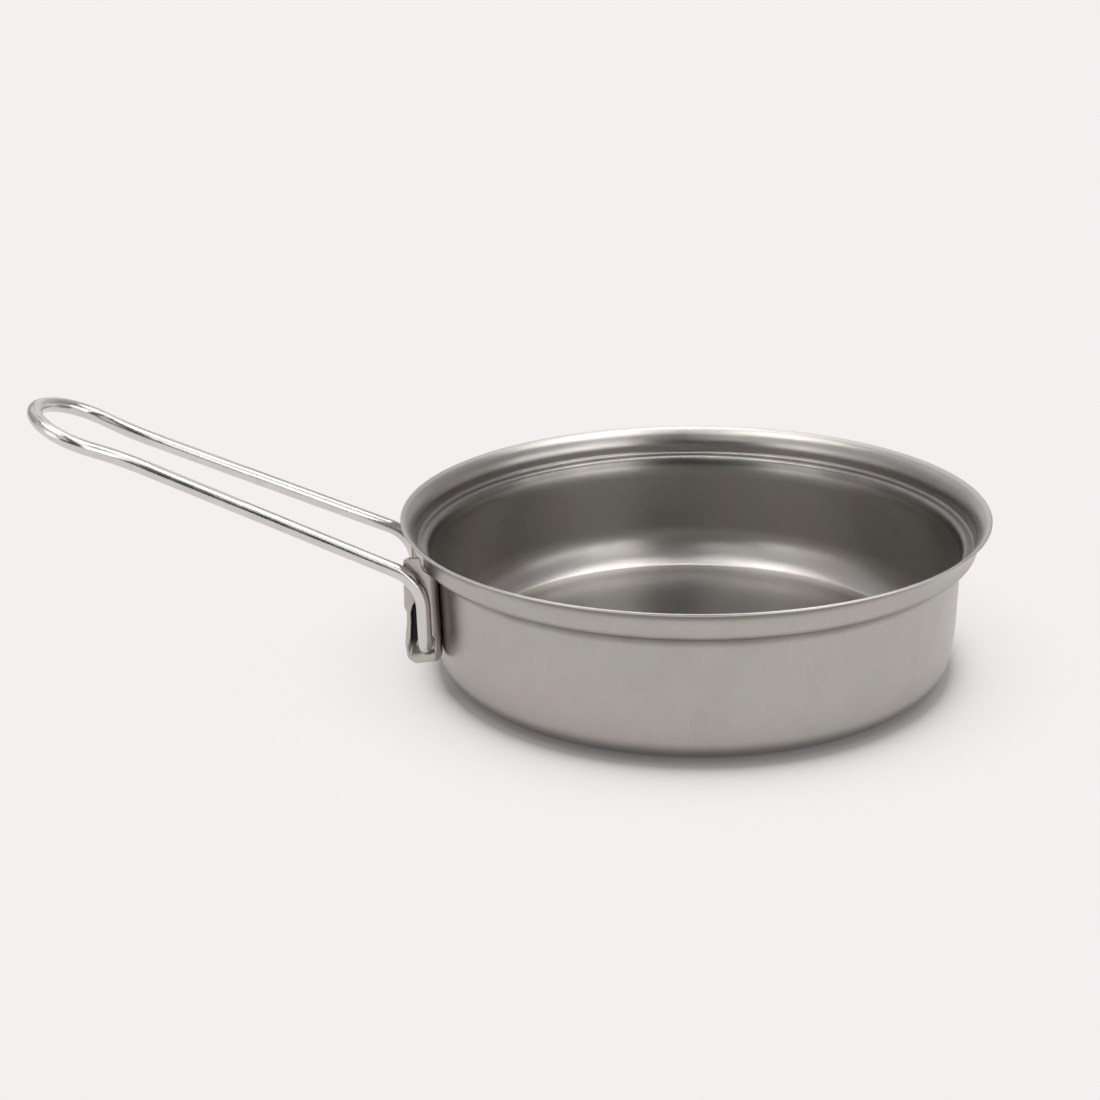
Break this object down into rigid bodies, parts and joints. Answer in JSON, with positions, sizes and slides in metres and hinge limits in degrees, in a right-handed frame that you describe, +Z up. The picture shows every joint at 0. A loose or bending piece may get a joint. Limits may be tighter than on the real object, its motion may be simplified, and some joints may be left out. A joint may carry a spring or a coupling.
{
  "type": "camping pan lid",
  "caption": "Round shallow metal camping pan that doubles as a pot lid, with a stepped, flared rim and a folding wire loop handle on a welded bracket.",
  "frame": {"origin": "centre of the pan's flat resting base, on the axis of the round pan", "axes": "+Z up along the pan's axis, out of its open mouth; the handle points along -X; the XZ plane is the plane of symmetry"},
  "size_m": [0.196, 0.124, 0.064],
  "materials": {
    "pan_metal": "satin",
    "bracket_metal": "satin",
    "wire_metal": "polished"
  },
  "bodies": {
    "pan": {"pan_shell": "pan_metal", "handle_bracket": "bracket_metal"},
    "handle": {"wire_handle": "wire_metal"}
  },
  "joints": [
    {"name": "handle_fold", "type": "hinge", "parent": "pan", "child": "handle", "pos_m": [-0.0586, 0, 0.0112], "axis": [0, -1, 0], "range_deg": [0, 205]}
  ]
}
